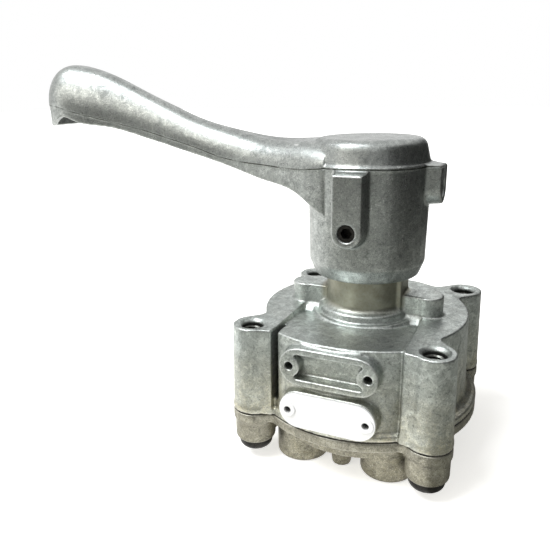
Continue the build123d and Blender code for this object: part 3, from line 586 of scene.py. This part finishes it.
cameraData = bpy.data.cameras.new("photoCamera")
camera = bpy.data.objects.new("photoCamera", cameraData)
bpy.context.scene.collection.objects.link(camera)
cameraData.sensor_width = cameraView["sensor"]
cameraData.lens = cameraView["focal"] * cameraView["sensor"] / cameraView["frame"]
cameraData.clip_start = 0.01
cameraData.clip_end = 20
turn = (Matrix.Rotation(radians(cameraView["azimuth"]), 4, "Z")
        @ Matrix.Rotation(radians(90 - cameraView["elevation"]), 4, "X")
        @ Matrix.Rotation(radians(cameraView["roll"]), 4, "Z"))
camera.matrix_world = Matrix.Translation(Vector(cameraView["place"]) * mm) @ turn
bpy.context.scene.camera = camera


# studio: a pale floor, an even white surround, two soft lamps, and cards that only reflections see

studio = dict(floorSize=8.0, floorWhite="#F6F5F2", worldLevel=0.36, floorLift=0.66)
lamps = {
    "keyLamp": dict(direction=(-0.38, -0.36, 0.85), strength=2.3, spread=26, colour="#F4F8FC"),
    "frontLamp": dict(direction=(-0.45, -0.85, 0.30), strength=1.05, spread=50, colour="#FFFBF2"),
}
# the room that the polished faces mirror, in metres: dark on the right and behind, grey in front,
# with two grey mats just over the floor: painted shadow of the object on the floor, seen only in reflections
cards = {
    "rightCard": dict(place=(0.28, 0.0, 0.16), facing=(1, 0, 0), width=0.60, height=0.46, colour="#090A0A"),
    "backRightCard": dict(place=(0.20, 0.30, 0.10), facing=(0.4, 1, 0), width=0.34, height=0.34,
                          colour="#1C1D1C"),
    "backCard": dict(place=(-0.50, 0.45, 0.06), facing=(-0.5, 1, 0), width=0.50, height=0.26,
                     colour="#242524"),
    "frontCard": dict(place=(-0.08, -0.48, 0.08), facing=(0, -1, 0), width=0.95, height=0.40,
                      colour="#5A5B58"),
    # the two mats below are painted shadow of the object on the floor, seen only in reflections
    "frontShadowMat": dict(place=(-0.04, -0.28, -0.0602), facing=(0, 0, 1), width=0.80, height=0.38,
                     colour="#CECEC6"),
    "rightShadowMat": dict(place=(0.27, 0.12, -0.0598), facing=(0, 0, 1), width=0.46, height=0.50,
                     colour="#9A9A93"),
}

bpy.ops.mesh.primitive_plane_add(size=studio["floorSize"], location=(0, 0, cadBox[0][2]))
floor = bpy.context.object
floor.name = "paleFloor"
floorMaterial = bpy.data.materials.new("paleFloor")
floorMaterial.use_nodes = True
floorTree = floorMaterial.node_tree
floorTree.nodes.remove(floorTree.nodes["Principled BSDF"])
paper = addNode(floorTree, "ShaderNodeBsdfDiffuse", {"Color": hexColour(studio["floorWhite"])})
lift = addNode(floorTree, "ShaderNodeEmission", {"Color": hexColour(studio["floorWhite"])})
floorPath = addNode(floorTree, "ShaderNodeLightPath")
seenFloor = addNode(floorTree, "ShaderNodeMath", {0: floorPath.outputs["Is Camera Ray"],
                                                  1: floorPath.outputs["Is Glossy Ray"]},
                                                  operation="MAXIMUM")
seenThrough = addNode(floorTree, "ShaderNodeMath",
                      {0: seenFloor.outputs["Value"], 1: floorPath.outputs["Is Transmission Ray"]},
                      operation="MAXIMUM")
liftLevel = addNode(floorTree, "ShaderNodeMath", {0: seenThrough.outputs["Value"], 1: studio["floorLift"]},
                    operation="MULTIPLY")
floorTree.links.new(liftLevel.outputs["Value"], lift.inputs["Strength"])
bothShaders = addNode(floorTree, "ShaderNodeAddShader",
                      {0: paper.outputs["BSDF"], 1: lift.outputs["Emission"]})
floorTree.links.new(bothShaders.outputs["Shader"], floorTree.nodes["Material Output"].inputs["Surface"])
floor.data.materials.append(floorMaterial)

for name, values in cards.items():
    bpy.ops.mesh.primitive_plane_add(size=1)
    card = bpy.context.object
    card.name = name
    card.scale = (values["width"], values["height"], 1)
    card.location = values["place"]
    card.rotation_mode = "QUATERNION"
    card.rotation_quaternion = Vector(values["facing"]).to_track_quat("Z", "Y")
    card.visible_camera = False
    card.visible_diffuse = False
    card.visible_shadow = False
    cardMaterial = newMaterial(name, Base_Color=hexColour(values["colour"]), Roughness=0.9)[0]
    card.data.materials.append(cardMaterial)

world = bpy.data.worlds.new("whiteStudio")
bpy.context.scene.world = world
world.use_nodes = True
worldTree = world.node_tree
surround = worldTree.nodes["Background"]
surround.inputs["Color"].default_value = (1, 1, 1, 1)
worldPath = addNode(worldTree, "ShaderNodeLightPath")
seenWorld = addNode(worldTree, "ShaderNodeMath", {0: worldPath.outputs["Is Camera Ray"],
                                                  1: worldPath.outputs["Is Glossy Ray"]},
                                                  operation="MAXIMUM")
seenWorldToo = addNode(worldTree, "ShaderNodeMath",
                       {0: seenWorld.outputs["Value"], 1: worldPath.outputs["Is Transmission Ray"]},
                       operation="MAXIMUM")
worldLevel = addNode(worldTree, "ShaderNodeMapRange",
                     {"Value": seenWorldToo.outputs["Value"], "To Min": studio["worldLevel"],
                      "To Max": 1.0})
worldTree.links.new(worldLevel.outputs["Result"], surround.inputs["Strength"])

for name, values in lamps.items():
    data = bpy.data.lights.new(name, "SUN")
    data.energy = values["strength"]
    data.angle = radians(values["spread"])
    data.color = hexColour(values["colour"])[:3]
    lamp = bpy.data.objects.new(name, data)
    bpy.context.scene.collection.objects.link(lamp)
    lamp.rotation_mode = "QUATERNION"
    lamp.rotation_quaternion = Vector(values["direction"]).to_track_quat("Z", "Y")

bpy.context.scene.view_settings.view_transform = "Standard"
print("camera and studio made")
